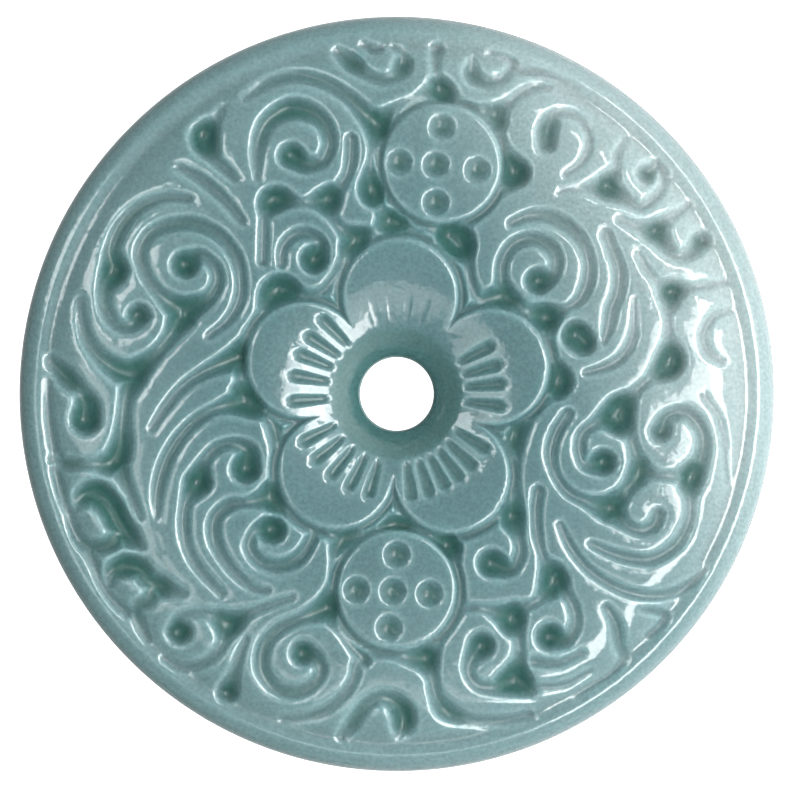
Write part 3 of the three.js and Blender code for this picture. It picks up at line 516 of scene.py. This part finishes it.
def add(tree, kind, settings, links):
    """Adds a node, sets its properties and plain inputs, and links the other inputs to (node, output)."""
    node = tree.nodes.new(kind)
    for key, value in settings.items():
        sockets = {s.identifier: s for s in node.inputs}
        if key in sockets:
            sockets[key].default_value = value
        else:
            setattr(node, key, value)
    sockets = {s.identifier: s for s in node.inputs}
    for key, (source, output) in links.items():
        tree.links.new(next(s for s in source.outputs if s.identifier == output), sockets[key])
    return node


jade = bpy.data.materials.new("polished_jade")
jade.use_nodes = True
tree = jade.node_tree
tree.nodes.clear()
place = add(tree, "ShaderNodeTexCoord", {}, {})
hollow_shade_at = add(tree, "ShaderNodeAttribute", {"attribute_name": "hollow_shade"}, {})
sunk_at = add(tree, "ShaderNodeAttribute", {"attribute_name": "sunk"}, {})
lip_highlight_at = add(tree, "ShaderNodeAttribute", {"attribute_name": "lip_highlight"}, {})
rim_glow_at = add(tree, "ShaderNodeAttribute", {"attribute_name": "rim_glow"}, {})
lit_right_at = add(tree, "ShaderNodeAttribute", {"attribute_name": "lit_right"}, {})
# Painted glow: the flat colour is mixed paler towards the rim.
flat = add(tree, "ShaderNodeMix", {
    "data_type": "RGBA", "A_Color": linear(JADE_FLAT), "B_Color": linear(JADE_RIM_GLOW)},
    {"Factor_Float": (rim_glow_at, "Fac")})
# Painted shade: the colour is mixed towards a darker green in the hollows.
body = add(tree, "ShaderNodeMix", {"data_type": "RGBA", "B_Color": linear(JADE_HOLLOW_SHADE)},
           {"A_Color": (flat, "Result_Color"), "Factor_Float": (hollow_shade_at, "Fac")})
# Painted highlight: the lips are mixed paler.
lip_highlight_part = add(tree, "ShaderNodeMath", {"operation": "MULTIPLY", "Value_001": LIP_HIGHLIGHT_SHARE},
               {"Value": (lip_highlight_at, "Fac")})
lip_highlighted = add(tree, "ShaderNodeMix", {"data_type": "RGBA", "B_Color": linear(JADE_LIP_HIGHLIGHT)},
            {"A_Color": (body, "Result_Color"), "Factor_Float": (lip_highlight_part, "Value")})
# Painted light: the colour is mixed paler towards the right.
lit_right_part = add(tree, "ShaderNodeMath", {"operation": "MULTIPLY", "Value_001": LIT_RIGHT_SHARE},
                {"Value": (lit_right_at, "Fac")})
lit_right_colour = add(tree, "ShaderNodeMix", {"data_type": "RGBA", "B_Color": linear(JADE_LIT_RIGHT)},
            {"A_Color": (lip_highlighted, "Result_Color"), "Factor_Float": (lit_right_part, "Value")})
cloud = add(tree, "ShaderNodeTexNoise", {"Scale": 1.0 / (CLOUD_MM * MM), "Detail": 3.0},
            {"Vector": (place, "Object")})
tint = add(tree, "ShaderNodeMix", {
    "data_type": "RGBA", "A_Color": linear(CLOUD_DARK), "B_Color": linear(WHITE)},
    {"Factor_Float": (cloud, "Fac")})
clouded = add(tree, "ShaderNodeMix", {"data_type": "RGBA", "blend_type": "MULTIPLY", "Factor_Float": 1.0},
              {"A_Color": (lit_right_colour, "Result_Color"), "B_Color": (tint, "Result_Color")})
grain = add(tree, "ShaderNodeTexNoise", {"Scale": 1.0 / (GRAIN_MM * MM), "Detail": 1.0},
            {"Vector": (place, "Object")})
speck = add(tree, "ShaderNodeMix", {
    "data_type": "RGBA", "A_Color": linear(GRAIN_DARK), "B_Color": linear(WHITE)},
    {"Factor_Float": (grain, "Fac")})
grained = add(tree, "ShaderNodeMix", {"data_type": "RGBA", "blend_type": "MULTIPLY", "Factor_Float": 1.0},
              {"A_Color": (clouded, "Result_Color"), "B_Color": (speck, "Result_Color")})
polish = add(tree, "ShaderNodeMath", {"operation": "MULTIPLY_ADD", "Value_001": DULLER, "Value_002": POLISH},
             {"Value": (sunk_at, "Fac")})
glaze = add(tree, "ShaderNodeMath", {
    "operation": "MULTIPLY_ADD", "Value_001": -GLAZE_LOST, "Value_002": GLAZE},
    {"Value": (sunk_at, "Fac")})
waver = add(tree, "ShaderNodeTexNoise", {"Scale": 1.0 / (WAVER_MM * MM), "Detail": 2.0},
            {"Vector": (place, "Object")})
uneven = add(tree, "ShaderNodeBump", {"Distance": WAVER_DEEP * MM}, {"Height": (waver, "Fac")})
skin = add(tree, "ShaderNodeBsdfPrincipled", {
    "IOR": JADE_IOR, "Specular IOR Level": BODY_SHINE, "Coat Roughness": GLAZE_POLISH, "Coat IOR": GLAZE_IOR,
    "Subsurface Weight": 1.0, "Subsurface Scale": BLEED_MM * MM, "Subsurface Radius": BLEED_RGB},
    {"Base Color": (grained, "Result_Color"), "Roughness": (polish, "Value"), "Coat Weight": (glaze, "Value"),
     "Normal": (uneven, "Normal"), "Coat Normal": (uneven, "Normal")})
add(tree, "ShaderNodeOutputMaterial", {}, {"Surface": (skin, "BSDF")})
disc_mesh.materials.append(jade)
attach(disc, "root")
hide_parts("jade_disc")

# The floor: a wide sheet of matt white paper, bright enough to stay white through the cord hole. It throws no
# light back on the stone, as in the picture, where nothing shines up at the disc's edge. It lies a hair below
# the disc and is clear from its underside, so that the plain back can be looked at.
FLOOR_HALF = 1.5
FLOOR_Z = -0.00002
PAPER = "#f4f4f4"
PAPER_ROUGH = 0.9
PAPER_SHINE = 0.1
PAPER_GLOW = 0.9
floor_corners = [(a * FLOOR_HALF, b * FLOOR_HALF, FLOOR_Z) for a, b in ((-1, -1), (1, -1), (1, 1), (-1, 1))]
floor_mesh = bpy.data.meshes.new("floor")
floor_mesh.from_pydata(floor_corners, [], [(0, 1, 2, 3)])
floor = bpy.data.objects.new("floor", floor_mesh)
floor.visible_diffuse = False
floor.visible_glossy = False
bpy.context.collection.objects.link(floor)
white = bpy.data.materials.new("white_paper")
white.use_nodes = True
white.node_tree.nodes.clear()
paper = add(white.node_tree, "ShaderNodeBsdfPrincipled", {
    "Base Color": linear(PAPER), "Roughness": PAPER_ROUGH, "Specular IOR Level": PAPER_SHINE,
    "Emission Color": linear(WHITE), "Emission Strength": PAPER_GLOW}, {})
side = add(white.node_tree, "ShaderNodeNewGeometry", {}, {})
clear = add(white.node_tree, "ShaderNodeBsdfTransparent", {}, {})
sheet = add(white.node_tree, "ShaderNodeMixShader", {},
            {"Fac": (side, "Backfacing"), "Shader": (paper, "BSDF"), "Shader_001": (clear, "BSDF")})
add(white.node_tree, "ShaderNodeOutputMaterial", {}, {"Surface": (sheet, "Shader")})
floor_mesh.materials.append(white)

# The light: soft boxes where the reflections in the stone show them. A broad bright one and two narrow ones
# stand on the right, over a low white card, with two dimmer ones on the left and a faint one at the bottom of
# the picture, in a grey room that is brighter towards the right.
LIGHT_FAR = 0.6
ROOM_MIDDLE = 0.82
ROOM_RISE = 3.0
ROOM_WHITE = "#f2f6f6"


def soft_box(name, degrees, tilt, size, radiance):
    """An area light facing the disc, `degrees` round from the right and `tilt` degrees from overhead.

    Its power is pi times its area times the radiance wanted from its face."""
    lamp = bpy.data.lights.new(name, "AREA")
    lamp.shape = "RECTANGLE"
    lamp.size = size[0]
    lamp.size_y = size[1]
    lamp.energy = np.pi * size[0] * size[1] * radiance
    box = bpy.data.objects.new(name, lamp)
    a = np.radians(degrees)
    b = np.radians(tilt)
    box.location = LIGHT_FAR * np.array([np.sin(b) * np.cos(a), np.sin(b) * np.sin(a), np.cos(b)])
    box.rotation_euler = Vector(box.location).to_track_quat("Z", "Y").to_euler()
    bpy.context.collection.objects.link(box)


soft_box("soft_box_right", 30.0, 27.0, (0.28, 0.08), 13.0)
soft_box("soft_box_right_near", -22.0, 31.0, (0.54, 0.18), 11.0)
soft_box("soft_box_right_high", -6.0, 20.0, (0.14, 0.10), 7.5)
soft_box("soft_box_right_low", 8.0, 54.0, (0.50, 0.22), 0.8)
soft_box("soft_box_left_far", 157.0, 33.0, (0.10, 0.36), 6.0)
soft_box("soft_box_left", 197.0, 28.0, (0.26, 0.26), 2.4)
soft_box("soft_box_near", 272.0, 24.0, (0.26, 0.15), 2.0)
room = bpy.data.worlds.new("grey_room")
room.use_nodes = True
walls = room.node_tree
walls.nodes.clear()
looking = add(walls, "ShaderNodeTexCoord", {}, {})
apart = add(walls, "ShaderNodeSeparateXYZ", {}, {"Vector": (looking, "Generated")})
rising = add(walls, "ShaderNodeMath", {"operation": "POWER", "Value": ROOM_RISE},
             {"Value_001": (apart, "X")})
bright = add(walls, "ShaderNodeMath", {"operation": "MULTIPLY", "Value_001": ROOM_MIDDLE},
             {"Value": (rising, "Value")})
glow = add(walls, "ShaderNodeBackground", {"Color": linear(ROOM_WHITE)}, {"Strength": (bright, "Value")})
add(walls, "ShaderNodeOutputWorld", {}, {"Surface": (glow, "Background")})
bpy.context.scene.world = room

# The camera: straight above, far enough off for the disc to show hardly any perspective. Its lens and shift
# put the disc where it lies in the photograph, by its width and centre there in pixels.
CAMERA_HIGH = 0.6
SENSOR_MM = 36.0
RIM_HIGH = 0.002
PHOTO_SIDE_PX = 800.0
DISC_ACROSS_PX = 754.8
DISC_CENTRE_PX = (396.9, 393.9)
lens = bpy.data.cameras.new("camera")
lens.sensor_width = SENSOR_MM
seen_across = 2.0 * DISC_R * MM * PHOTO_SIDE_PX / DISC_ACROSS_PX
lens.lens = SENSOR_MM * (CAMERA_HIGH - RIM_HIGH) / seen_across
lens.shift_x = (PHOTO_SIDE_PX / 2 - DISC_CENTRE_PX[0]) / PHOTO_SIDE_PX
lens.shift_y = (DISC_CENTRE_PX[1] - PHOTO_SIDE_PX / 2) / PHOTO_SIDE_PX
camera = bpy.data.objects.new("camera", lens)
camera.location = (0.0, 0.0, CAMERA_HIGH)
bpy.context.collection.objects.link(camera)
bpy.context.scene.camera = camera
bpy.context.scene.view_settings.view_transform = "Standard"
